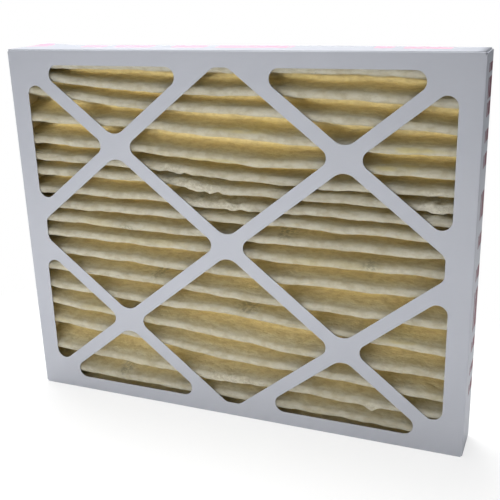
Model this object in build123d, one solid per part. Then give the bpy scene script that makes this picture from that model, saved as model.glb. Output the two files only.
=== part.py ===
from build123d import *

import math
import os

# Pleated panel air filter with a folded paperboard frame, standing on its lower edge. The origin is
# the middle of the foot of the frame, X runs along the width, Z up, and air enters at the -Y face.
# All lengths are in millimetres.

# Outside of the finished frame
frame_width = 495.3
frame_height = 393.7
frame_depth = 44.45

# Paperboard of the two trays, and how they are folded and glued
board = 0.7
fold_radius = 0.4
glue_film = 0.1
nest_clearance = 0.15
edge_clearance = 0.3
corner_tab = 34.0
tab_taper = 9.0
corner_notch = 1.6

# Windows that are die-cut through each face
end_border = 15.5
side_border = 21.4
mid_side_border = 26.1
mid_side_patch = 36.0
strap_width = 14.5
window_radius = 10.0
crossing_radius = 16.0

# Filter sheet and the way it is pleated
media_thickness = 3.0
tip_radius = 5.0
tip_clearance = 0.3
lower_pleats = 8
crowded_pleats = 6
upper_pleats = 5
lower_spread = 1.14
crowded_spread = 0.78

# Welded wire grid on the air-leaving side of the sheet
wire = 0.9
bond_gap = 0.05
formed_wire_pitch = 63.5

# Adhesive that seals the four sides of the pleated sheet to the inner tray
glue_bed = 1.5
end_bead_depth = 9.0

# Sizes that follow from those above
outer_fold_radius = board + fold_radius
tab_stack = board + glue_film
rear_width = frame_width - 2 * (board + nest_clearance)
rear_height = frame_height - 2 * (board + tab_stack + nest_clearance)
rear_wall_depth = frame_depth - board - edge_clearance
pack_width = rear_width - 2 * (board + glue_bed)
pack_height = rear_height - 2 * (board + tab_stack)
valley_radius = tip_radius - media_thickness
wire_depth = media_thickness + bond_gap
wire_reach = tip_radius + bond_gap + wire
front_tip_y = -frame_depth / 2 + board + tip_clearance + tip_radius
rear_tip_y = frame_depth / 2 - board - tip_clearance - wire_reach
grid_end_y = front_tip_y + end_bead_depth + wire
mid_height = frame_height / 2


def pitches():
    """Height of each pleat from the lowest to the highest. The middle ones are pushed together."""
    spreads = (
        [lower_spread] * lower_pleats + [crowded_spread] * crowded_pleats + [1.0] * upper_pleats
    )
    return [pack_height * spread / sum(spreads) for spread in spreads]


def fold_centres():
    """Centres of the folds from the lowest to the highest, as (y, z, radius sign) in turn.

    Folds at the front and folds at the rear take turns. The first and the last are the front folds
    that the two walls cut off, so only their legs are there.
    """
    height = mid_height - pack_height / 2
    centres = [(front_tip_y, height)]
    for pitch in pitches():
        centres.append((rear_tip_y, height + pitch / 2))
        centres.append((front_tip_y, height + pitch))
        height += pitch
    return centres


def fold_radii(depth_in_sheet):
    """Radius of a front fold and of a rear fold, this far behind the air-entering skin."""
    return tip_radius - depth_in_sheet, valley_radius + depth_in_sheet


def leg_ends(start, end, depth_in_sheet):
    """Both ends of the straight leg from one fold up to the next, and its unit normal."""
    front_radius, rear_radius = fold_radii(depth_in_sheet)
    to_rear = end[0] > start[0]
    start_radius, end_radius = (front_radius, rear_radius) if to_rear else (rear_radius, front_radius)
    rise = math.atan2(end[1] - start[1], end[0] - start[0])
    lean = math.asin((start_radius + end_radius) / math.dist(start, end))
    turn = math.pi / 2 - lean
    normal_angle = rise + turn if to_rear else rise - turn
    normal = Vector(math.cos(normal_angle), math.sin(normal_angle))
    return Vector(*start) + normal * start_radius, Vector(*end) - normal * end_radius, normal


def leg_point(low, high, y):
    """The point of a straight leg, or of its extension, at this y."""
    return low + (high - low) * ((y - low.X) / (high.X - low.X))


def legs_at(depth_in_sheet, cut_y):
    """Ends of every leg at this depth in the sheet, lowest first. The two end legs stop at cut_y."""
    centres = fold_centres()
    legs = [leg_ends(a, b, depth_in_sheet)[:2] for a, b in zip(centres, centres[1:])]
    legs[0] = (leg_point(*legs[0], cut_y), legs[0][1])
    legs[-1] = (legs[-1][0], leg_point(*legs[-1], cut_y))
    return legs


def pleat_line(depth_in_sheet):
    """Line of the whole pleated sheet at this depth in it.

    A fold is round on its outside and creased, with its crown flattened to a point, on its inside.
    """
    legs = legs_at(depth_in_sheet, front_tip_y)
    front_radius, rear_radius = fold_radii(depth_in_sheet)
    edges = []
    start = legs[0][0]
    for fold, below, above in zip(fold_centres()[1:], legs, legs[1:]):
        at_rear = fold[0] == rear_tip_y
        radius = rear_radius if at_rear else front_radius
        crown = Vector(*fold) + Vector(radius if at_rear else -radius, 0)
        if radius > valley_radius:
            edges += [Line(start, below[1]), ThreePointArc(below[1], crown, above[0])]
            start = above[0]
        else:
            foot, head = leg_point(*below, fold[0]), leg_point(*above, fold[0])
            edges += [Line(start, foot), Line(foot, crown), Line(crown, head)]
            start = head
    return edges + [Line(start, legs[-1][1])]


def channel(web, wall):
    """Section of folded board: a flat web with a wall turned up at each end, its outside at y = 0."""
    half = web / 2
    outside = FilletPolyline(
        (-half, wall), (-half, 0), (half, 0), (half, wall), radius=outer_fold_radius
    )
    inner = half - board
    inside = FilletPolyline(
        (-inner, wall), (-inner, board), (inner, board), (inner, wall), radius=fold_radius
    )
    ends = [Line(outside @ 0, inside @ 0), Line(outside @ 1, inside @ 1)]
    return make_face(outside.edges() + inside.edges() + ends)


def above_or_below_crossing(corner):
    """Whether a corner of a window lies straight above or below a crossing of two straps."""
    quarter = frame_width / 4
    return abs(corner.X - quarter * round(corner.X / quarter)) < board


def rounded(window):
    """The window with rounded corners, which are wider above and below a crossing."""
    narrow = [v for v in window.vertices() if not above_or_below_crossing(v)]
    window = window.fillet_2d(window_radius, narrow)
    wide = [v for v in window.vertices() if above_or_below_crossing(v)]
    return window.fillet_2d(crossing_radius, wide)


def windows():
    """The die-cut windows of one face, on a plane through its middle."""
    half_width = frame_width / 2
    half_height = frame_height / 2
    slope = math.degrees(math.atan2(frame_height, frame_width))
    strap_length = math.hypot(frame_width, frame_height)
    opening = Rectangle(frame_width - 2 * side_border, frame_height - 2 * end_border)
    strap = Rectangle(strap_length, strap_width)
    for tilt in (slope, -slope):
        opening -= Rot(0, 0, tilt) * strap
        for side in (-1, 1):
            across = -side if tilt > 0 else side
            middle = Pos(side * half_width / 2, across * half_height / 2)
            opening -= middle * Rot(0, 0, tilt) * strap
    for side in (-1, 1):
        patch = Rectangle(2 * mid_side_border, mid_side_patch)
        opening -= Pos(side * half_width, 0) * patch
    return [rounded(window) for window in opening.faces()]


def tray(width, height, wall_depth):
    """Folded tray with its face at y = 0 and its walls towards +Y, centred on the origin.

    The side walls carry the corner tabs, which lie glued inside the two end walls.
    """
    section_across = Plane.XY * channel(width, wall_depth)
    side_wall_height = height - 2 * (tab_stack + outer_fold_radius)
    sides = extrude(section_across, side_wall_height / 2, both=True)

    upright = Plane(origin=(0, 0, 0), x_dir=(0, 0, 1), z_dir=(-1, 0, 0))
    ends = extrude(upright * channel(height, wall_depth), width / 2 - corner_notch, both=True)

    wrap_plane = Plane(origin=(-width / 2, corner_notch, 0), x_dir=(0, 0, 1), z_dir=(0, 1, 0))
    wrap = extrude(wrap_plane * channel(height - 2 * tab_stack, corner_tab), wall_depth - corner_notch)
    tab_ends = wrap.edges().filter_by(Axis.Z).group_by(Axis.X)[-1]
    wrap = chamfer(tab_ends, tab_taper)

    folded = sides + ends + wrap + mirror(wrap, about=Plane.YZ)
    cutters = [extrude(Plane.XZ * window, 2 * board, both=True) for window in windows()]
    return folded - cutters


def front_frame():
    """Outer tray: its face is where air enters, and its walls reach the back of the filter."""
    return Pos(0, -frame_depth / 2, mid_height) * tray(frame_width, frame_height, frame_depth)


def rear_frame():
    """Inner tray, turned round and nested in the outer one."""
    inner_tray = tray(rear_width, rear_height, rear_wall_depth)
    return Pos(0, frame_depth / 2, mid_height) * Rot(0, 0, 180) * inner_tray


def pleated_media():
    """The filter sheet, folded into rounded pleats from wall to wall."""
    skin = pleat_line(0)
    back = pleat_line(media_thickness)
    cut_ends = [Line(skin[0] @ 0, back[0] @ 0), Line(skin[-1] @ 1, back[-1] @ 1)]
    section = make_face(skin + back + cut_ends)
    return extrude(Plane.YZ * section, pack_width / 2, both=True)


def centred_row(count, pitch):
    """Evenly spaced places, symmetric about zero."""
    return [(place - (count - 1) / 2) * pitch for place in range(count)]


def bent_line(depth_in_sheet):
    """Corners of a line that follows the sheet at this depth, with two square bends at each fold.

    The wire stands outside the rear folds and stops short inside the front ones.
    """
    front_crown = front_tip_y + depth_in_sheet - wire_depth
    rear_crown = rear_tip_y + fold_radii(depth_in_sheet)[1]
    points = []
    for number, leg in enumerate(legs_at(depth_in_sheet, front_tip_y)):
        crowns = (front_crown, rear_crown) if number % 2 == 0 else (rear_crown, front_crown)
        points += [leg_point(*leg, crown) for crown in crowns]
    points[0] = leg_point(points[0], points[1], grid_end_y)
    points[-1] = leg_point(points[-2], points[-1], grid_end_y)
    return points


def formed_wires():
    """The upright wires, each bent round every fold of the sheet."""
    corners = bent_line(wire_depth) + bent_line(wire_depth + wire)[::-1]
    section = make_face(Polyline(*corners, close=True))
    bent_wire = extrude(Plane.YZ * section, wire / 2, both=True)
    pairs = math.floor((pack_width / 2 - wire) / formed_wire_pitch)
    return [Pos(x, 0, 0) * bent_wire for x in centred_row(2 * pairs + 1, formed_wire_pitch)]


def straight_wires():
    """The level wires, one on the upper leg of each rear fold, welded across the formed wires."""
    centres = fold_centres()
    wires = []
    for start, end in list(zip(centres, centres[1:]))[1::2]:
        low, high, normal = leg_ends(start, end, wire_depth + wire)
        seat = (low + high) / 2 + normal * wire / 2
        lean = math.degrees(math.atan2(high.Y - low.Y, high.X - low.X))
        section = Plane.YZ * Pos(seat.X, seat.Y) * Rot(0, 0, lean) * Rectangle(wire, wire)
        wires.append(extrude(section, pack_width / 2, both=True))
    return wires


def support_grid():
    """The grid bonded to the air-leaving side of the sheet. Its wires meet face to face at the welds."""
    return Compound(formed_wires() + straight_wires())


def side_glue_bed(side):
    """Bed of glue between the pleat ends and the side wall of the inner tray, on side -1 or 1."""
    front = -frame_depth / 2 + board + tip_clearance
    back = frame_depth / 2 - board - fold_radius
    bed = Box(glue_bed, back - front, pack_height - 2 * fold_radius)
    return Pos(side * (pack_width + glue_bed) / 2, (front + back) / 2, mid_height) * bed


def glue_bead(end_leg, side):
    """Bead of glue between an end leg and the wall, at the foot (side -1) or the head (side 1).

    Between the corner tabs it reaches the wall.
    """
    low, high, _ = leg_ends(*end_leg, media_thickness)
    back_y = front_tip_y + end_bead_depth
    leg_front = leg_point(low, high, front_tip_y)
    leg_back = leg_point(low, high, back_y)
    tab_level = mid_height + side * pack_height / 2
    wedge = Polyline(
        (front_tip_y, tab_level), leg_front, leg_back, (back_y, tab_level), close=True
    )
    bead = extrude(Plane.YZ * make_face(wedge), pack_width / 2, both=True)
    between_tabs = rear_width - 2 * (corner_tab + edge_clearance)
    filling = Box(between_tabs, end_bead_depth, tab_stack)
    filling_y = (front_tip_y + back_y) / 2
    return bead + Pos(0, filling_y, tab_level + side * tab_stack / 2) * filling


def main():
    """Write one STEP file for each piece."""
    pieces = {
        "front_frame": front_frame(),
        "rear_frame": rear_frame(),
        "pleated_media": pleated_media(),
        "support_grid": support_grid(),
        "left_glue_bed": side_glue_bed(-1),
        "right_glue_bed": side_glue_bed(1),
        "bottom_glue_bead": glue_bead(fold_centres()[:2], -1),
        "top_glue_bead": glue_bead(fold_centres()[-2:], 1),
    }
    os.makedirs("parts", exist_ok=True)
    for name, piece in pieces.items():
        export_step(piece, f"parts/{name}.step")


main()
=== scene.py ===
import math

import bmesh
import bpy
from mathutils import Matrix, Vector, noise


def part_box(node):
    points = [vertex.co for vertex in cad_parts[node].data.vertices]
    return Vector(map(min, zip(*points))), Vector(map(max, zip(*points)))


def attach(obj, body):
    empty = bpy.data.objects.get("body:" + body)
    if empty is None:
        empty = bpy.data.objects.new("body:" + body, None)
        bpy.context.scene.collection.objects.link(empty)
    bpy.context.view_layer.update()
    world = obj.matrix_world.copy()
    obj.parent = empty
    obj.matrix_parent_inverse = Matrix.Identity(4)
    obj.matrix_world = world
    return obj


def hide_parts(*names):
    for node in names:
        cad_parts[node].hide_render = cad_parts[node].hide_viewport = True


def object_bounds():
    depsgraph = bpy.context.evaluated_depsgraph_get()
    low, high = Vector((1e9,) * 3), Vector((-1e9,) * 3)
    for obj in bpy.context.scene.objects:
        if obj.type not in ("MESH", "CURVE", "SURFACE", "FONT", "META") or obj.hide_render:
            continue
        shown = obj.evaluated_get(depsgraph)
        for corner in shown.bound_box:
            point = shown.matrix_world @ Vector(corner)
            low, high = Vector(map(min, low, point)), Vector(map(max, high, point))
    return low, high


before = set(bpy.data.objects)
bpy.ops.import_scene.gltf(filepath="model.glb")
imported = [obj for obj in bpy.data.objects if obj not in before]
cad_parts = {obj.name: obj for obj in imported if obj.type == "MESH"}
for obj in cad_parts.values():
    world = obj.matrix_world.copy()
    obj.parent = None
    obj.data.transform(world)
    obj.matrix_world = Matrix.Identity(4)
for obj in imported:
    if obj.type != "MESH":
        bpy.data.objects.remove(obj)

bl_info = {
    "name": "Pleated Panel Air Filter",
    "version": (1, 0, 0),
    "blender": (4, 5, 0),
    "location": "View3D > Sidebar > Air Filter",
    "description": "Dresses the CAD model of a pleated panel air filter and builds its stage",
    "category": "Add Mesh",
}

MM = 0.001
BLACK = (0.0, 0.0, 0.0)
WHITE = (1.0, 1.0, 1.0)
WARM_WHITE = (1.0, 0.99, 0.97)
SOFT_WHITE = (1.0, 1.0, 0.98)
CAD_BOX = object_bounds()

# Sizes of the pleated sheet, the same as in the CAD source
SHEET = 3.0 * MM
FRONT_RADIUS = 5.0 * MM
REAR_RADIUS = 2.0 * MM
FRONT_CENTRE = -16.225 * MM
REAR_CENTRE = 15.275 * MM
WIRE_RADIUS = 0.45 * MM
BOND_GAP = 0.05 * MM

# Depth that the colours of the sheet run over, painted lighter and yellower deeper in the folds as
# painted light, and how far their limits wander
FOLD_DEPTH = 44 * MM
WANDER = 7 * MM

# Printed walls of the outer tray: the span that each colour ramp covers, in metres
TOP_SPAN = 0.5
RIGHT_SPAN = 0.4

# How steeply a worn place fades in from its rim
RIM_SLOPE = 1.8
# Middle and reach in x and z of worn places on the sheet, in millimetres
TORN_PLACES = (
    (-58, 268, 26, 20), (-24, 252, 34, 22), (10, 240, 22, 12), (209, 257, 22, 18),
    (2, 43, 48, 7), (159, 37, 16, 9), (-140, 30, 14, 8),
)
SMUDGES = (
    (-89, 154, 10, 5), (17, 128, 16, 6), (-119, 205, 13, 6), (-141, 29, 9, 6), (-62, 262, 9, 6),
    (-30, 247, 8, 6), (60, 214, 14, 5), (150, 190, 12, 5), (96, 372, 7, 4),
)
YELLOW_STREAKS = (
    (190, 306, 42, 4), (172, 289, 34, 4), (176, 116, 30, 4), (20, 318, 60, 4), (-20, 285, 70, 4),
    (40, 180, 70, 3),
)

# Heights of the front folds in millimetres, from the foot to the head of the filter, at five places
# across the width. The folds wander by a few millimetres, as they do in a filter glued by hand.
FOLD_PLACES = (-205, -90, 0, 90, 205)
FOLD_HEIGHTS = (
    (3.2, 3.2, 3.2, 3.2, 3.2),
    (23.8, 23.3, 22.8, 22.8, 21.3),
    (49.8, 44.8, 43.3, 43.3, 40.3),
    (82.9, 77.4, 69.4, 66.2, 60.4),
    (106.6, 99.6, 94.1, 87.6, 84.1),
    (128.2, 123.5, 122.2, 116.7, 110.7),
    (150.3, 147.6, 141.8, 140.9, 137.8),
    (171.9, 169.4, 167.9, 166.4, 167.9),
    (192.0, 191.3, 191.0, 188.4, 190.0),
    (209.1, 208.3, 207.1, 208.1, 208.1),
    (225.2, 225.4, 225.2, 226.2, 223.7),
    (242.3, 242.5, 239.8, 240.0, 239.3),
    (263.4, 262.0, 256.4, 254.9, 253.4),
    (279.6, 276.1, 272.1, 268.6, 268.6),
    (296.8, 294.0, 287.8, 286.8, 285.8),
    (321.1, 318.9, 314.1, 308.4, 306.1),
    (349.4, 338.9, 337.4, 332.4, 327.4),
    (365.0, 357.4, 355.4, 354.4, 350.4),
    (379.5, 378.0, 377.0, 377.0, 376.0),
    (390.5, 390.5, 390.5, 390.5, 390.5),
)

# ---------------------------------------------------------------- material nodes


class NodeTree:
    """Adds nodes to one material and joins them up."""

    def __init__(self, name):
        self.material = bpy.data.materials.new(name)
        self.material.use_nodes = True
        self.tree = self.material.node_tree
        self.tree.nodes.clear()
        self.output = self.tree.nodes.new("ShaderNodeOutputMaterial")

    def add(self, kind, settings=None, **sockets):
        """A new node. Sockets are given by name, with a value or with an output to join."""
        node = self.tree.nodes.new(kind)
        for key, value in (settings or {}).items():
            setattr(node, key, value)
        for key, value in sockets.items():
            self.set(node, key.replace("_", " "), value)
        return node

    def set(self, node, key, value):
        """Set or join one input socket, by its name or its number."""
        place = int(key) if key.strip().isdigit() else key
        socket = node.inputs[place]
        if isinstance(value, bpy.types.NodeSocket):
            self.tree.links.new(value, socket)
        else:
            socket.default_value = value

    def math(self, operation, first, second=0.0, third=None, clamp=False):
        """Output of a Math node."""
        node = self.tree.nodes.new("ShaderNodeMath")
        node.operation = operation
        node.use_clamp = clamp
        for number, value in enumerate((first, second, third)):
            if value is not None:
                self.set(node, str(number), value)
        return node.outputs[0]

    def ramp(self, factor, stops, interpolation="LINEAR"):
        """Colour output of a Color Ramp with these (place, colour) stops."""
        node = self.tree.nodes.new("ShaderNodeValToRGB")
        node.color_ramp.interpolation = interpolation
        elements = node.color_ramp.elements
        while len(elements) > 1:
            elements.remove(elements[-1])
        elements[0].position, elements[0].color = stops[0][0], rgba(stops[0][1])
        for place, colour in stops[1:]:
            elements.new(place).color = rgba(colour)
        self.set(node, "Fac", factor)
        return node.outputs["Color"]

    def mix(self, factor, first, second, blend="MIX"):
        """Colour output of a Mix node."""
        node = self.tree.nodes.new("ShaderNodeMix")
        node.data_type = "RGBA"
        node.blend_type = blend
        self.set(node, "0", factor)
        for number, value in (("6", first), ("7", second)):
            joined = isinstance(value, bpy.types.NodeSocket)
            self.set(node, number, value if joined else rgba(value))
        return node.outputs[2]

    def tint(self, colour, mask, share, tone, blend="MIX"):
        """The colour, moved by this share towards a display tone where the mask is 1."""
        return self.mix(self.math("MULTIPLY", mask, share), colour, srgb(*tone), blend)

    def product(self, first, *others):
        """Product of several values."""
        for other in others:
            first = self.math("MULTIPLY", first, other)
        return first

    def spread(self, value, gain, offset):
        """The value with more contrast, kept between 0 and 1."""
        return self.math("MULTIPLY_ADD", value, gain, offset, clamp=True)

    def object_place(self):
        """Object coordinates."""
        return self.add("ShaderNodeTexCoord").outputs["Object"]

    def axes(self, vector):
        """The X, Y and Z outputs of a vector."""
        return self.add("ShaderNodeSeparateXYZ", Vector=vector).outputs

    def mix_shaders(self, factor, first, second):
        """Mix Shader node of two shader nodes."""
        node = self.add("ShaderNodeMixShader")
        self.set(node, "0", factor)
        self.set(node, "1", first.outputs[0])
        self.set(node, "2", second.outputs[0])
        return node

    def noise(self, vector, scale, detail=3.0, roughness=0.5):
        """Value output of a Noise node."""
        return self.add(
            "ShaderNodeTexNoise", Vector=vector, Scale=scale, Detail=detail, Roughness=roughness
        ).outputs["Fac"]

    def stretched(self, vector, scale):
        """The vector, with each of its axes scaled."""
        return self.add("ShaderNodeMapping", Vector=vector, Scale=scale).outputs[0]

    def band(self, value, low, high, soft):
        """1 between low and high, 0 outside, with soft edges."""
        rise = self.math("MULTIPLY_ADD", value, 1 / soft, 0.5 - low / soft, clamp=True)
        fall = self.math("MULTIPLY_ADD", value, -1 / soft, 0.5 + high / soft, clamp=True)
        return self.math("MULTIPLY", rise, fall)

    def patch(self, vector, middle_x, middle_z, reach_x, reach_z):
        """1 in the middle of an ellipse in x and z, 0 from its rim outwards. In millimetres."""
        near = self.add(
            "ShaderNodeMapping", Vector=vector,
            Location=(-middle_x / reach_x, 0.0, -middle_z / reach_z),
            Scale=(1 / (reach_x * MM), 0.0, 1 / (reach_z * MM)),
        )
        return self.spread(self.length(near.outputs[0]), -RIM_SLOPE, RIM_SLOPE)

    def length(self, vector):
        """Length of a vector."""
        node = self.add("ShaderNodeVectorMath", {"operation": "LENGTH"}, Vector=vector)
        return node.outputs["Value"]

    def patches(self, vector, places):
        """Several patches together."""
        total = 0.0
        for place in places:
            total = self.math("ADD", self.patch(vector, *place), total, clamp=True)
        return total

    def surface(self, shader):
        """Join a shader to the output and return the finished material."""
        self.tree.links.new(shader.outputs[0], self.output.inputs["Surface"])
        return self.material


def rgba(colour):
    """A colour with its alpha."""
    return (*colour[:3], 1.0)


def srgb(red, green, blue):
    """Linear colour from 8-bit display values."""
    return tuple(
        c / 12.92 if c <= 0.04045 else ((c + 0.055) / 1.055) ** 2.4
        for c in (red / 255, green / 255, blue / 255)
    )


def board_material(settings, name, printed):
    """Coated paperboard: faint fibres, soft dents and pale cut edges. The outer one has print."""
    nodes = NodeTree(name)
    place = nodes.object_place()
    x, y, z = nodes.axes(place)
    face_x, face_y, face_z = nodes.axes(nodes.add("ShaderNodeNewGeometry").outputs["True Normal"])

    fibres = nodes.noise(nodes.stretched(place, (160.0, 160.0, 900.0)), 1.0, 4.0, 0.6)
    mottle = nodes.noise(place, 14.0, 3.0, 0.5)
    grain = nodes.noise(place, 900.0, 2.0, 0.5)
    colour = nodes.mix(mottle, srgb(*settings.dark_tone), srgb(*settings.light_tone))
    colour = nodes.tint(colour, fibres, 0.16, settings.fibre_tone)

    # The cut edges of the windows show the pale core of the board
    on_edge = nodes.math("LESS_THAN", nodes.math("ABSOLUTE", face_y), 0.5)
    near_face = nodes.math("GREATER_THAN", nodes.math("ABSOLUTE", y), 21.3 * MM)
    inside_x = nodes.math("LESS_THAN", nodes.math("ABSOLUTE", x), 235 * MM)
    inside_z = nodes.band(z, 8 * MM, 386 * MM, 0.5 * MM)
    core = nodes.product(on_edge, near_face, inside_x, inside_z)
    colour = nodes.mix(core, colour, srgb(*settings.core_tone))

    if printed:
        left, top = CAD_BOX[0][0], CAD_BOX[1][2]
        # Bars on the top wall, placed by the distance from its left end. Their pale pink is the red
        # ink painted as lit: painted light.
        colour = printed_bars(
            nodes, colour, settings.top_print, face_z,
            rows=((5, 9.5), (12, 19)), y=y,
            along=nodes.math("MULTIPLY_ADD", x, 1 / TOP_SPAN, -left / TOP_SPAN),
            stops=run_stops(settings.top_runs, TOP_SPAN),
            strokes=nodes.stretched(place, (330.0, 90.0, 1.0)), offset=-1.9,
        )
        # Bars on the right-hand wall, placed by the distance from its top. Their dark maroon is the
        # same red ink painted as in shade: painted shade.
        colour = printed_bars(
            nodes, colour, settings.side_print, face_x,
            rows=((-4, 2), (5, 21)), y=y,
            along=nodes.math("MULTIPLY_ADD", z, -1 / RIGHT_SPAN, top / RIGHT_SPAN),
            stops=run_stops(settings.right_runs, RIGHT_SPAN),
            strokes=nodes.stretched(place, (1.0, 90.0, 330.0)), offset=-1.2,
        )

    fine = nodes.math("MULTIPLY", grain, 0.35)
    soft = nodes.math("MULTIPLY_ADD", mottle, 3.0, fine)
    relief = nodes.math("MULTIPLY_ADD", fibres, 0.5, soft)
    bump = nodes.add("ShaderNodeBump", Strength=0.25, Distance=0.4 * MM, Height=relief)
    return nodes.surface(nodes.add(
        "ShaderNodeBsdfPrincipled", Base_Color=colour, Roughness=0.55, Specular_IOR_Level=0.35,
        Normal=bump.outputs[0],
    ))


def printed_bars(nodes, colour, tone, facing, rows, y, along, stops, strokes, offset):
    """The colour with broken bars of print, on the wall that faces this way."""
    wall = nodes.math("GREATER_THAN", facing, 0.7)
    bands = [nodes.band(y, low * MM, high * MM, 0.4 * MM) for low, high in rows]
    runs = nodes.ramp(along, stops, "CONSTANT")
    broken = nodes.spread(nodes.noise(strokes, 1.0, 2.0, 0.6), 6.0, offset)
    mask = nodes.product(wall, nodes.math("ADD", *bands), runs, broken)
    return nodes.mix(mask, colour, srgb(*tone))


def run_stops(runs, span):
    """Constant ramp stops that are white from each start to each end. Runs are in millimetres."""
    ends = list(runs)
    stops = [(0.0, BLACK)]
    for start, end in zip(ends[::2], ends[1::2]):
        stops += [(start * MM / span, WHITE), (end * MM / span, BLACK)]
    return stops


def media_material(settings):
    """Lofted polyester sheet: pale and fuzzy on the fold tips, and painted lighter and yellower
    down the folds as painted light.
    """
    nodes = NodeTree("Filter_Media")
    place = nodes.object_place()
    y = nodes.axes(place)[1]

    streaks = nodes.noise(nodes.stretched(place, (55.0, 120.0, 200.0)), 1.0, 2.5, 0.5)
    patches = nodes.noise(nodes.stretched(place, (9.0, 20.0, 30.0)), 1.0, 3.0, 0.55)
    fuzz = nodes.noise(nodes.stretched(place, (500.0, 900.0, 900.0)), 1.0, 4.0, 0.7)
    lumps = nodes.noise(nodes.stretched(place, (120.0, 120.0, 190.0)), 1.0, 2.0, 0.5)
    tangle = nodes.noise(nodes.stretched(place, (260.0, 200.0, 300.0)), 1.0, 3.0, 0.6)

    # Colour by depth, from the tips at the front to the bottoms of the folds: painted light,
    # lighter and yellower deeper in the folds where shade falls
    wander = nodes.math("MULTIPLY_ADD", nodes.math("ADD", streaks, lumps), WANDER, -WANDER)
    depth = nodes.spread(nodes.math("ADD", y, wander), 1 / FOLD_DEPTH, 0.5)
    tip, deep = srgb(*settings.tip_tone), srgb(*settings.deep_tone)
    tone = nodes.ramp(depth, (
        (0.00, tip),
        (0.05, tip),
        (0.20, srgb(*settings.flank_tone)),
        (0.40, srgb(*settings.fold_tone)),
        (0.65, deep),
        (1.00, deep),
    ))
    torn = nodes.patches(place, TORN_PLACES)
    loose = nodes.product(torn, nodes.spread(tangle, 4.0, -1.5))
    # Painted shade: thin dark brown lines in the torn places stand in for the shade inside the gaps
    # between loose fibres
    crack_shade = nodes.product(torn, nodes.band(tangle, 0.455, 0.465, 0.012))
    grime = nodes.product(nodes.patches(place, SMUDGES), nodes.spread(tangle, 6.0, -2.6))
    stain = nodes.product(nodes.patches(place, YELLOW_STREAKS), nodes.spread(streaks, 3.0, -0.9))
    for mask, share, colour, blend in (
        (nodes.spread(fuzz, 1.6, -0.45), 0.16, settings.fleck_tone, "MULTIPLY"),
        (nodes.spread(streaks, 3.0, -1.2), 0.22, settings.streak_tone, "MULTIPLY"),
        (nodes.spread(lumps, 4.5, -1.9), 0.50, settings.clump_tone, "MULTIPLY"),
        (nodes.spread(patches, 5.0, -2.9), 0.30, settings.patch_tone, "MIX"),
        (loose, 0.85, settings.loose_tone, "MIX"),
        (crack_shade, 0.75, settings.gap_tone, "MIX"),
        (grime, 0.75, settings.grime_tone, "MIX"),
        (stain, 0.50, settings.stain_tone, "MIX"),
    ):
        tone = nodes.tint(tone, mask, share, colour, blend)

    relief = nodes.math("MULTIPLY_ADD", streaks, 0.6, lumps)
    relief = nodes.math("MULTIPLY_ADD", fuzz, 0.12, relief)
    relief = nodes.math("MULTIPLY_ADD", nodes.product(torn, tangle), 0.5, relief)
    bump = nodes.add("ShaderNodeBump", Strength=0.8, Distance=2.5 * MM, Height=relief)
    lofted = nodes.add(
        "ShaderNodeBsdfPrincipled", Base_Color=tone, Roughness=0.95, Specular_IOR_Level=0.1,
        Sheen_Weight=0.2, Sheen_Roughness=0.6, Normal=bump.outputs[0],
    )
    glow = nodes.mix(0.5, tone, srgb(*settings.glow_tone))
    passing = nodes.add("ShaderNodeBsdfTranslucent", Color=glow, Normal=bump.outputs[0])
    return nodes.surface(nodes.mix_shaders(settings.see_through, lofted, passing))


def wire_material(settings):
    """Galvanised wire: dull grey metal with a faint spangle."""
    nodes = NodeTree("Galvanised_Wire")
    place = nodes.object_place()
    spangle = nodes.add("ShaderNodeTexVoronoi", Vector=place, Scale=600.0).outputs["Color"]
    cloud = nodes.noise(place, 90.0, 3.0, 0.5)
    half_cloud = nodes.math("MULTIPLY", cloud, 0.5)
    colour = nodes.mix(half_cloud, srgb(*settings.tone), spangle, "SOFT_LIGHT")
    rough = nodes.math("MULTIPLY_ADD", cloud, 0.25, 0.3)
    return nodes.surface(nodes.add(
        "ShaderNodeBsdfPrincipled", Base_Color=colour, Roughness=rough, Metallic=1.0
    ))


def glue_material(settings):
    """Set hot-melt adhesive: milky, slightly glossy, with small ripples."""
    nodes = NodeTree("Set_Adhesive")
    place = nodes.object_place()
    ripple = nodes.noise(place, 120.0, 3.0, 0.5)
    tint = nodes.noise(place, 25.0, 2.0, 0.5)
    colour = nodes.mix(tint, srgb(*settings.tone), srgb(*settings.aged_tone))
    bump = nodes.add("ShaderNodeBump", Strength=0.5, Distance=0.8 * MM, Height=ripple)
    return nodes.surface(nodes.add(
        "ShaderNodeBsdfPrincipled", Base_Color=colour, Roughness=0.42, Normal=bump.outputs[0]
    ))


def dress(obj, material):
    """Give the object this one material."""
    obj.data.materials.clear()
    obj.data.materials.append(material)


# ---------------------------------------------------------------- pleated sheet


# How the folds wander: change along a fold, change from fold to fold, and seed of the noise
BROAD_WANDER = (22, 7.3, 0.5)
FINE_WANDER = (75, 3.1, 4.5)
SINK_WANDER = (16, 5.7, 9.5)
REAR_WANDER = (18, 4.9, 2.5)
FINE_SHARE = 0.35
REAR_SHARE = 0.6
SINK = 1.1 * MM

# How the skin swells: a sum of noises, drawn in by a little, with ruffles where it is torn
SKIN_DRAWN_IN = 0.45
RUFFLE_HEIGHT = 4.5
RUFFLE_LIFT = 0.4


def smooth_between(places, values, x):
    """Value at x on a smooth curve through these points, and on straight lines beyond its ends."""
    if x <= places[0]:
        slope = (values[1] - values[0]) / (places[1] - places[0])
        return values[0] + slope * (x - places[0])
    if x >= places[-1]:
        slope = (values[-1] - values[-2]) / (places[-1] - places[-2])
        return values[-1] + slope * (x - places[-1])
    for low in range(len(places) - 1):
        if x <= places[low + 1]:
            break
    step = places[low + 1] - places[low]
    t = (x - places[low]) / step

    def slope_at(i):
        a, b = max(i - 1, 0), min(i + 1, len(places) - 1)
        return (values[b] - values[a]) / (places[b] - places[a]) * step

    a, b, va, vb = slope_at(low), slope_at(low + 1), values[low], values[low + 1]
    return va + t * (a + t * (3 * (vb - va) - 2 * a - b + t * (2 * (va - vb) + a + b)))


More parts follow.
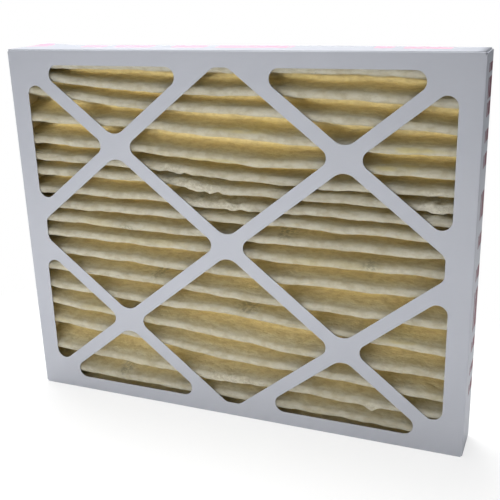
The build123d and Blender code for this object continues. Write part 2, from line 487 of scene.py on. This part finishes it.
def fold_centres(x, wave):
    """Centres of the front and rear folds at this place across the width, from the foot upwards."""
    fronts = []
    last = len(FOLD_HEIGHTS) - 1
    for number, row in enumerate(FOLD_HEIGHTS):
        height = smooth_between(FOLD_PLACES, row, x / MM) * MM
        if 0 < number < last:
            height += wave * fold_noise(x, number, BROAD_WANDER)
            height += FINE_SHARE * wave * fold_noise(x, number, FINE_WANDER)
        fronts.append(height)
    centres = []
    for number, height in enumerate(fronts):
        sink = 0.0
        if 0 < number < last:
            sink = SINK * abs(fold_noise(x, number, SINK_WANDER))
        centres.append((FRONT_CENTRE + sink, height))
        if number < last:
            middle = (height + fronts[number + 1]) / 2
            middle += REAR_SHARE * wave * fold_noise(x, number, REAR_WANDER)
            centres.append((REAR_CENTRE, middle))
    return centres


def fold_noise(x, number, pattern):
    """Noise at this place along one fold, by one of the patterns above."""
    along, across, seed = pattern
    return noise.noise(Vector((x * along, number * across, seed)))


def sheet_line(x, wave, leg_steps, front_steps, rear_steps):
    """The air-entering skin of one section, from the foot upwards: y, z and the normal's y, z."""
    centres = fold_centres(x, wave)
    tangent = FRONT_RADIUS + REAR_RADIUS
    turns = []
    for number, (start, end) in enumerate(zip(centres, centres[1:])):
        front, rear = (start, end) if number % 2 == 0 else (end, start)
        reach_y, reach_z = rear[0] - front[0], rear[1] - front[1]
        lean = math.acos(tangent / math.hypot(reach_y, reach_z))
        rise = math.atan2(reach_z, reach_y)
        turns.append(rise + lean if number % 2 == 0 else rise - lean + 2 * math.pi)

    def skin(number, turn):
        centre = centres[number]
        normal = (math.cos(turn), math.sin(turn))
        radius = FRONT_RADIUS if number % 2 == 0 else -REAR_RADIUS
        return (centre[0] + normal[0] * radius, centre[1] + normal[1] * radius, *normal)

    line = []
    for number, turn in enumerate(turns):
        start, end = skin(number, turn), skin(number + 1, turn)
        if number == 0:
            start = clipped(end, start, FRONT_CENTRE)
        if number == len(turns) - 1:
            end = clipped(start, end, FRONT_CENTRE)
        for step in range(leg_steps + 1):
            t = step / leg_steps
            line.append(tuple(a + (b - a) * t for a, b in zip(start, end)))
        if number < len(turns) - 1:
            steps = rear_steps if number % 2 == 0 else front_steps
            following = turns[number + 1]
            for step in range(1, steps):
                line.append(skin(number + 1, turn + (following - turn) * step / steps))
    return line


def clipped(inner, outer, y):
    """The end of a leg, moved along the leg to this y."""
    t = (y - inner[0]) / (outer[0] - inner[0])
    return (y, inner[1] + (outer[1] - inner[1]) * t, outer[2], outer[3])


def build_sheet(settings):
    """The pleated sheet as a mesh, moved on to its fold lines from a flat grid; its thickness is
    added where it is used.
    """
    low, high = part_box("pleated_media")
    columns = settings.columns
    sections = []
    for column in range(columns + 1):
        x = low[0] + (high[0] - low[0]) * column / columns
        steps = settings.leg_steps, settings.front_steps, settings.rear_steps
        sections.append((x, sheet_line(x, settings.wave, *steps)))
    rows = len(sections[0][1])

    mesh = bmesh.new()
    bmesh.ops.create_grid(mesh, x_segments=columns, y_segments=rows - 1, size=0.5)
    mesh.verts.ensure_lookup_table()
    ordered = sorted(
        mesh.verts, key=lambda v: (round(v.co.x * columns), round(v.co.y * (rows - 1)))
    )
    for number, vertex in enumerate(ordered):
        x, line = sections[number // rows]
        y, z, normal_y, normal_z = line[number % rows]
        point = Vector((x, y, z))
        vertex.co = point + Vector((0, normal_y, normal_z)) * puffiness(point, settings)
        vertex.co.y = max(vertex.co.y, low[1])
    mesh.normal_update()
    foremost = min(mesh.faces, key=lambda face: face.calc_center_median().y)
    if foremost.normal.y > 0:
        bmesh.ops.reverse_faces(mesh, faces=mesh.faces[:])
    return to_object(mesh, "pleated_sheet", smooth=True)


def skin_noise(point, scales, shift=0.0):
    """Noise at a point of the skin, with its axes scaled."""
    x_scale, y_scale, z_scale = scales
    return noise.noise(Vector((point.x * x_scale, point.y * y_scale, point.z * z_scale + shift)))


def puffiness(point, settings):
    """How far the lofted skin stands out of, or sinks into, its even fold line."""
    broad = skin_noise(point, (45, 60, 60))
    fine = skin_noise(point, (160, 200, 200), 7)
    wear = 0.0
    for middle_x, middle_z, reach_x, reach_z in TORN_PLACES:
        away = math.hypot((point.x / MM - middle_x) / reach_x, (point.z / MM - middle_z) / reach_z)
        wear += max(0.0, 1.0 - away)
    ruffles = RUFFLE_HEIGHT * skin_noise(point, (110, 130, 150), 31) + RUFFLE_LIFT
    return settings.puff * (0.7 * broad + 0.3 * fine - SKIN_DRAWN_IN + min(wear, 1.0) * ruffles)


def to_object(mesh, name, smooth=False):
    """Write a bmesh to a new object in the scene."""
    for face in mesh.faces:
        face.smooth = smooth
    data = bpy.data.meshes.new(name)
    mesh.to_mesh(data)
    mesh.free()
    obj = bpy.data.objects.new(name, data)
    bpy.context.scene.collection.objects.link(obj)
    return obj


# ---------------------------------------------------------------- lifted board


LAYER_COLUMNS = 66
LAYER_ROWS = 8
# How far the layer stays inside the left, right, front and rear edge of the wall, and above it
LAYER_INSETS = (0.4 * MM, 2.0 * MM, 1.0 * MM, 0.2 * MM)
LAYER_GAP = 0.05 * MM
CURL_REACH = 24
# The bow starts a little before the left end, and stops short of the right end
BOW_START = 0.08
BOW_END = 0.92


def build_top_layer(settings):
    """Thin printed layer on the top wall, bowed at its rear edge and curled near its left end."""
    low, high = CAD_BOX
    left, right, front, rear = LAYER_INSETS
    mesh = bmesh.new()
    bmesh.ops.create_grid(mesh, x_segments=LAYER_COLUMNS, y_segments=LAYER_ROWS, size=0.5)
    for vertex in mesh.verts:
        across, back = vertex.co.x + 0.5, vertex.co.y + 0.5
        x = low[0] + left + across * (high[0] - low[0] - left - right)
        y = low[1] + front + back * (high[1] - low[1] - front - rear)
        from_curl = ((x - low[0]) / MM - settings.curl_place) / CURL_REACH
        curl = settings.curl * math.exp(-(from_curl ** 2))
        bow = 0.0
        if across < BOW_END:
            bow = settings.bow * math.sin(math.pi * min(1.0, BOW_START + across)) ** 0.5
        lift = back ** 1.6 * (curl + bow) * smooth_end(across)
        vertex.co = (x, y, high[2] + LAYER_GAP + lift)
    return to_object(mesh, "top_layer", smooth=True)


def smooth_end(across):
    """0 at the two ends of the layer, 1 a little way in from them."""
    return min(1.0, across * 30, (1 - across) * 12)


# ---------------------------------------------------------------- wires and glue


def tube(name, paths, radius):
    """Round wires along lists of points, as one curve object."""
    data = bpy.data.curves.new(name, "CURVE")
    data.dimensions = "3D"
    data.bevel_depth = radius
    data.bevel_resolution = 2
    data.use_fill_caps = True
    for path in paths:
        spline = data.splines.new("POLY")
        spline.points.add(len(path) - 1)
        for point, place in zip(spline.points, path):
            point.co = (*place, 1.0)
    obj = bpy.data.objects.new(name, data)
    bpy.context.scene.collection.objects.link(obj)
    return obj


def behind(entry, depth):
    """The point this far behind the skin at one entry of a section."""
    y, z, normal_y, normal_z = entry
    return y - normal_y * depth, z - normal_z * depth


def build_wires(settings, wave):
    """Formed wires round the back of the folds, and a level wire on the upper leg of each one."""
    low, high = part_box("support_grid")
    depth = SHEET + WIRE_RADIUS + BOND_GAP
    formed = []
    for number in range(settings.formed):
        x = (number - (settings.formed - 1) / 2) * settings.pitch
        path = []
        for entry in sheet_line(x, wave, 1, 6, 6):
            y, z = behind(entry, depth)
            z = min(max(z, low[2] + WIRE_RADIUS), high[2] - WIRE_RADIUS)
            path.append((x, min(y, high[1] - WIRE_RADIUS), z))
        formed.append(path)
    legs = 2 * (len(FOLD_HEIGHTS) - 1)
    level = []
    for leg in range(1, legs, 2):
        path = []
        for step in range(settings.level_steps + 1):
            x = low[0] + (high[0] - low[0]) * step / settings.level_steps
            # With two steps each, a leg has three points and a fold adds one
            leg_middle = sheet_line(x, wave, 2, 2, 2)[leg * 4 + 1]
            path.append((x, *behind(leg_middle, depth + 2 * WIRE_RADIUS)))
        level.append(path)
    return tube("support_wires", formed + level, WIRE_RADIUS)


# ---------------------------------------------------------------- settings


def tone_setting(name, description, default):
    """A colour in display values from 0 to 255."""
    return bpy.props.IntVectorProperty(
        name=name, description=f"{description}, in display values", size=3, default=default
    )


def length_setting(name, description, default):
    """A length in metres."""
    return bpy.props.FloatProperty(
        name=name, description=description, default=default, unit="LENGTH", subtype="DISTANCE"
    )


def power_setting(name, description, default):
    """The power of a light in watts."""
    return bpy.props.FloatProperty(
        name=name, description=f"Power of the light {description}", default=default, unit="POWER"
    )


def angle_setting(name, description, degrees):
    """An angle, given in degrees."""
    return bpy.props.FloatProperty(
        name=name, description=description, default=math.radians(degrees),
        unit="ROTATION", subtype="ANGLE",
    )


def count_setting(name, description, default):
    """A whole number."""
    return bpy.props.IntProperty(name=name, description=description, default=default)


class BoardSettings(bpy.types.PropertyGroup):
    light_tone: tone_setting("Light tone", "Lighter colour of the coated board", (178, 180, 187))
    dark_tone: tone_setting("Dark tone", "Darker colour of the coated board", (170, 173, 181))
    core_tone: tone_setting("Core tone", "Colour of the cut edges", (204, 206, 208))
    # One red ink in two colours: painted light makes it pale pink on the top wall, painted shade
    # makes it dark maroon on the right-hand wall
    top_print: tone_setting(
        "Top print", "Colour of the printed bars on the top wall", (232, 150, 175)
    )
    side_print: tone_setting(
        "Side print", "Colour of the printed bars on the right-hand wall", (100, 24, 48)
    )
    fibre_tone: tone_setting("Fibre tone", "Tint of the faint fibres", (150, 154, 168))
    layer: length_setting("Layer", "Thickness of the loose layer on the top wall", 0.35 * MM)
    bow: length_setting("Bow", "How far the layer stands off along its rear edge", 1.1 * MM)
    curl: length_setting("Curl", "How far the layer curls up near its left end", 2.2 * MM)
    curl_place: bpy.props.FloatProperty(
        name="Curl place", description="Middle of the curl, in millimetres from the left end",
        default=22.0,
    )
    top_runs: bpy.props.FloatVectorProperty(
        name="Top runs",
        description="Start and end of each printed stretch of the top wall, in mm from its left",
        size=14, default=(3, 33, 73, 100, 113, 157, 180, 217, 230, 310, 390, 407, 417, 460),
    )
    right_runs: bpy.props.FloatVectorProperty(
        name="Right runs",
        description="Start and end of each printed stretch of the right wall, in mm from the top",
        size=24,
        default=(
            10, 18, 22, 42, 44, 57, 69, 80, 92, 104, 128, 153,
            168, 181, 201, 214, 225, 265, 276, 286, 302, 311, 322, 333,
        ),
    )


class MediaSettings(bpy.types.PropertyGroup):
    wave: length_setting("Wave", "How far a fold wanders from its line", 1.6 * MM)
    puff: length_setting("Puff", "Depth of the soft swellings of the lofted skin", 1.5 * MM)
    columns: count_setting("Columns", "Mesh columns across the width", 104)
    leg_steps: count_setting("Leg steps", "Mesh rows on each leg", 4)
    front_steps: count_setting("Front steps", "Mesh rows round each front fold", 10)
    rear_steps: count_setting("Rear steps", "Mesh rows round each rear fold", 5)
    flat_length: length_setting(
        "Flat length", "Length that the sheet was cut to before pleating", 1.55
    )
    # The tones by depth paint light: the sheet is made lighter and yellower from the tips down the
    # folds, to offset the shade there
    tip_tone: tone_setting("Tip tone", "Colour of the fold tips", (220, 218, 206))
    flank_tone: tone_setting("Flank tone", "Colour just behind the tips", (236, 233, 216))
    fold_tone: tone_setting("Fold tone", "Colour down the folds", (239, 231, 196))
    deep_tone: tone_setting("Deep tone", "Colour at the bottom of the folds", (242, 230, 186))
    fleck_tone: tone_setting("Fleck tone", "Tint of the dark fibres", (182, 170, 142))
    streak_tone: tone_setting(
        "Streak tone", "Tint of the soft streaks along the folds", (214, 200, 164)
    )
    clump_tone: tone_setting("Clump tone", "Tint of the denser clumps of fibre", (206, 198, 178))
    patch_tone: tone_setting("Patch tone", "Broad yellower patches", (222, 206, 120))
    glow_tone: tone_setting("Glow tone", "Light that comes through the sheet", (244, 238, 214))
    loose_tone: tone_setting("Loose tone", "Loose tufts of fibre", (236, 233, 220))
    # Painted shade inside the gaps between loose fibres
    gap_tone: tone_setting("Gap tone", "Gaps between loose fibres", (120, 100, 66))
    grime_tone: tone_setting("Grime tone", "Smudges", (138, 138, 116))
    stain_tone: tone_setting("Stain tone", "Yellower streaks", (220, 206, 124))
    see_through: bpy.props.FloatProperty(
        name="See-through", description="Share of the light that passes through the lofted sheet",
        default=0.5,
    )


class WireSettings(bpy.types.PropertyGroup):
    formed: count_setting("Formed wires", "Number of upright wires", 7)
    pitch: length_setting("Pitch", "Distance between the upright wires", 63.5 * MM)
    level_steps: count_setting("Level steps", "Points along each level wire", 40)
    tone: tone_setting("Tone", "Colour of the zinc", (178, 180, 182))


class GlueSettings(bpy.types.PropertyGroup):
    tone: tone_setting("Tone", "Colour of the fresh glue", (232, 222, 190))
    aged_tone: tone_setting("Aged tone", "Colour of the aged glue", (206, 186, 130))


class StageSettings(bpy.types.PropertyGroup):
    key: power_setting("Key", "in front and above", 1.0)
    low: power_setting("Low", "in front, close to the floor", 3.4)
    side: power_setting("Side", "on the right, close to the floor", 0.3)
    top: power_setting("Top", "above and behind", 64.0)
    sky: bpy.props.FloatProperty(
        name="Sky", description="Strength of the even light from all round", default=0.20
    )
    back: power_setting("Back", "behind, which shines through the sheet", 13.0)
    lens: bpy.props.FloatProperty(
        name="Lens", description="Focal length of the camera", default=57.652, unit="CAMERA"
    )
    place: bpy.props.FloatVectorProperty(
        name="Place", description="Where the camera stands", size=3,
        default=(0.324203, -0.734861, 0.457446), unit="LENGTH", subtype="TRANSLATION",
    )
    yaw: angle_setting("Yaw", "Turn of the camera to the left", 22.719)
    pitch: angle_setting("Pitch", "Tilt of the camera below level", 18.685)
    roll: angle_setting("Roll", "Roll of the camera about its view", -1.750)


# ---------------------------------------------------------------- operators


class FILTER_OT_board(bpy.types.Operator):
    """Dress the two folded trays in coated paperboard."""

    bl_idname = "air_filter.board"
    bl_label = "Paperboard Trays"

    def execute(self, context):
        settings = context.scene.air_filter_board
        printed = board_material(settings, "Coated_Board_Printed", True)
        dress(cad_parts["front_frame"], printed)
        layer = build_top_layer(settings)
        thick = layer.modifiers.new("Thickness", "SOLIDIFY")
        thick.thickness = settings.layer
        thick.offset = 1.0
        dress(layer, printed)
        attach(layer, "root")
        dress(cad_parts["rear_frame"], board_material(settings, "Coated_Board", False))
        return {"FINISHED"}


class FILTER_OT_media(bpy.types.Operator):
    """Build the pleated sheet and put it in place of its CAD solid."""

    bl_idname = "air_filter.media"
    bl_label = "Pleated Sheet"

    def execute(self, context):
        settings = context.scene.air_filter_media
        sheet = build_sheet(settings)
        thick = sheet.modifiers.new("Thickness", "SOLIDIFY")
        thick.thickness = SHEET
        thick.offset = -1.0
        dress(sheet, media_material(settings))
        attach(sheet, "root")
        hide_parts("pleated_media")
        return {"FINISHED"}


class FILTER_OT_wires(bpy.types.Operator):
    """Build the round wires of the welded grid behind the sheet."""

    bl_idname = "air_filter.wires"
    bl_label = "Support Wires"

    def execute(self, context):
        settings = context.scene.air_filter_wires
        wires = build_wires(settings, context.scene.air_filter_media.wave)
        dress(wires, wire_material(settings))
        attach(wires, "root")
        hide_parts("support_grid")
        return {"FINISHED"}


class FILTER_OT_glue(bpy.types.Operator):
    """Dress the beds and beads of adhesive."""

    bl_idname = "air_filter.glue"
    bl_label = "Adhesive"

    def execute(self, context):
        material = glue_material(context.scene.air_filter_glue)
        for name in ("left_glue_bed", "right_glue_bed", "bottom_glue_bead", "top_glue_bead"):
            dress(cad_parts[name], material)
        return {"FINISHED"}


class FILTER_OT_stage(bpy.types.Operator):
    """Add the floor, the lights, the surroundings and the camera."""

    bl_idname = "air_filter.stage"
    bl_label = "Stage"

    def execute(self, context):
        settings = context.scene.air_filter_stage
        add_floor()
        for name, place, target, size, power, colour in (
            ("Key_Light", (-0.3, -1.3, 0.3), (0.0, 0.0, 0.1), 0.9, settings.key, WARM_WHITE),
            ("Low_Light", (-0.08, -0.55, 0.04), (0.0, 0.0, 0.0), 0.6, settings.low, WARM_WHITE),
            ("Side_Light", (0.52, -0.08, 0.03), (0.25, 0.0, 0.0), 0.15, settings.side, WARM_WHITE),
            ("Top_Light", (-0.45, 0.45, 2.0), (-0.1, 0.0, 0.3), 1.2, settings.top, WHITE),
            ("Back_Light", (-0.3, 0.9, 0.1), (0.0, 0.0, 0.15), 0.8, settings.back, SOFT_WHITE),
        ):
            add_light(name, place, target, size, power, colour)
        add_surroundings(settings.sky)
        add_camera(settings)
        return {"FINISHED"}


# Half the width of the floor. To the camera it is white by this share near the filter, and fully
# white past the end of the fade.
FLOOR_REACH = 6.0
FADE_START = 0.33
FADE_LENGTH = 0.25
NEAR_WHITE = 0.75


def add_floor():
    """A large pale floor that the filter stands on, white to the camera."""
    mesh = bmesh.new()
    bmesh.ops.create_grid(mesh, x_segments=4, y_segments=4, size=FLOOR_REACH)
    floor = to_object(mesh, "floor")
    nodes = NodeTree("Floor")
    place = nodes.object_place()
    away = nodes.length(nodes.stretched(place, (1.0, 1.6, 1.0)))
    cloud = nodes.noise(place, 3.0, 2.0, 0.5)
    seen = nodes.add("ShaderNodeLightPath").outputs["Is Camera Ray"]
    dim = nodes.ramp(cloud, ((0.0, (0.74, 0.74, 0.75)), (1.0, (0.78, 0.78, 0.79))))
    matt = nodes.add("ShaderNodeBsdfDiffuse", Color=nodes.mix(seen, dim, (0.97, 0.97, 0.97)))
    white = nodes.add("ShaderNodeEmission", Color=rgba(WHITE), Strength=1.0)
    far = nodes.spread(away, 1 / FADE_LENGTH, -FADE_START / FADE_LENGTH)
    share = nodes.math("MULTIPLY_ADD", far, 1 - NEAR_WHITE, NEAR_WHITE)
    floor.data.materials.append(
        nodes.surface(nodes.mix_shaders(nodes.product(share, seen), matt, white))
    )


def add_light(name, place, target, size, power, colour):
    """A square area light at this place, turned to the target."""
    data = bpy.data.lights.new(name, "AREA")
    data.size = size
    data.energy = power
    data.color = colour
    light = bpy.data.objects.new(name, data)
    light.location = place
    aim = Vector(target) - Vector(place)
    light.rotation_euler = aim.to_track_quat("-Z", "Y").to_euler()
    bpy.context.scene.collection.objects.link(light)


def add_surroundings(strength):
    """Even light from all round, seen by the camera as plain white."""
    world = bpy.data.worlds.new("Surroundings")
    world.use_nodes = True
    tree = world.node_tree
    tree.nodes.clear()
    output = tree.nodes.new("ShaderNodeOutputWorld")
    path = tree.nodes.new("ShaderNodeLightPath")
    choose = tree.nodes.new("ShaderNodeMixShader")
    tree.links.new(path.outputs["Is Camera Ray"], choose.inputs[0])
    for place, colour, power in ((1, (0.93, 0.96, 1.0), strength), (2, WHITE, 1.0)):
        sky = tree.nodes.new("ShaderNodeBackground")
        sky.inputs["Color"].default_value = rgba(colour)
        sky.inputs["Strength"].default_value = power
        tree.links.new(sky.outputs[0], choose.inputs[place])
    tree.links.new(choose.outputs[0], output.inputs["Surface"])
    bpy.context.scene.world = world


def add_camera(settings):
    """The camera, from its place, its turn, its tilt and its roll."""
    data = bpy.data.cameras.new("Camera")
    data.lens = settings.lens
    data.sensor_width = 36.0
    camera = bpy.data.objects.new("Camera", data)
    yaw, pitch, roll = settings.yaw, settings.pitch, settings.roll
    ahead = Vector((
        -math.sin(yaw) * math.cos(pitch), math.cos(yaw) * math.cos(pitch), -math.sin(pitch)
    ))
    level = Vector((math.cos(yaw), math.sin(yaw), 0.0))
    upright = level.cross(ahead)
    right = level * math.cos(roll) + upright * math.sin(roll)
    up = upright * math.cos(roll) - level * math.sin(roll)
    turn = Matrix((right, up, -ahead)).transposed()
    camera.matrix_world = Matrix.Translation(Vector(settings.place)) @ turn.to_4x4()
    bpy.context.scene.collection.objects.link(camera)
    bpy.context.scene.camera = camera
    bpy.context.scene.view_settings.view_transform = "Standard"


class FILTER_PT_panel(bpy.types.Panel):
    """Sidebar panel with one button for each piece."""

    bl_idname = "FILTER_PT_panel"
    bl_label = "Air Filter"
    bl_space_type = "VIEW_3D"
    bl_region_type = "UI"
    bl_category = "Air Filter"

    def draw(self, context):
        for operator, group in (
            ("air_filter.board", "air_filter_board"),
            ("air_filter.media", "air_filter_media"),
            ("air_filter.wires", "air_filter_wires"),
            ("air_filter.glue", "air_filter_glue"),
            ("air_filter.stage", "air_filter_stage"),
        ):
            box = self.layout.box()
            box.operator(operator)
            settings = getattr(context.scene, group)
            for name in settings.__annotations__:
                box.prop(settings, name)


SETTINGS = {
    "air_filter_board": BoardSettings,
    "air_filter_media": MediaSettings,
    "air_filter_wires": WireSettings,
    "air_filter_glue": GlueSettings,
    "air_filter_stage": StageSettings,
}
CLASSES = (
    *SETTINGS.values(),
    FILTER_OT_board, FILTER_OT_media, FILTER_OT_wires, FILTER_OT_glue, FILTER_OT_stage,
    FILTER_PT_panel,
)


def register():
    """Register the classes and hang their settings on the scene."""
    for cls in CLASSES:
        bpy.utils.register_class(cls)
    for name, cls in SETTINGS.items():
        setattr(bpy.types.Scene, name, bpy.props.PointerProperty(type=cls))


def unregister():
    """Take the settings and the classes away again."""
    for name in SETTINGS:
        delattr(bpy.types.Scene, name)
    for cls in reversed(CLASSES):
        bpy.utils.unregister_class(cls)


def main():
    """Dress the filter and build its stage."""
    register()
    bpy.ops.air_filter.board()
    bpy.ops.air_filter.media()
    bpy.ops.air_filter.wires()
    bpy.ops.air_filter.glue()
    bpy.ops.air_filter.stage()
    bpy.context.view_layer.update()


if __name__ == "__main__":
    main()
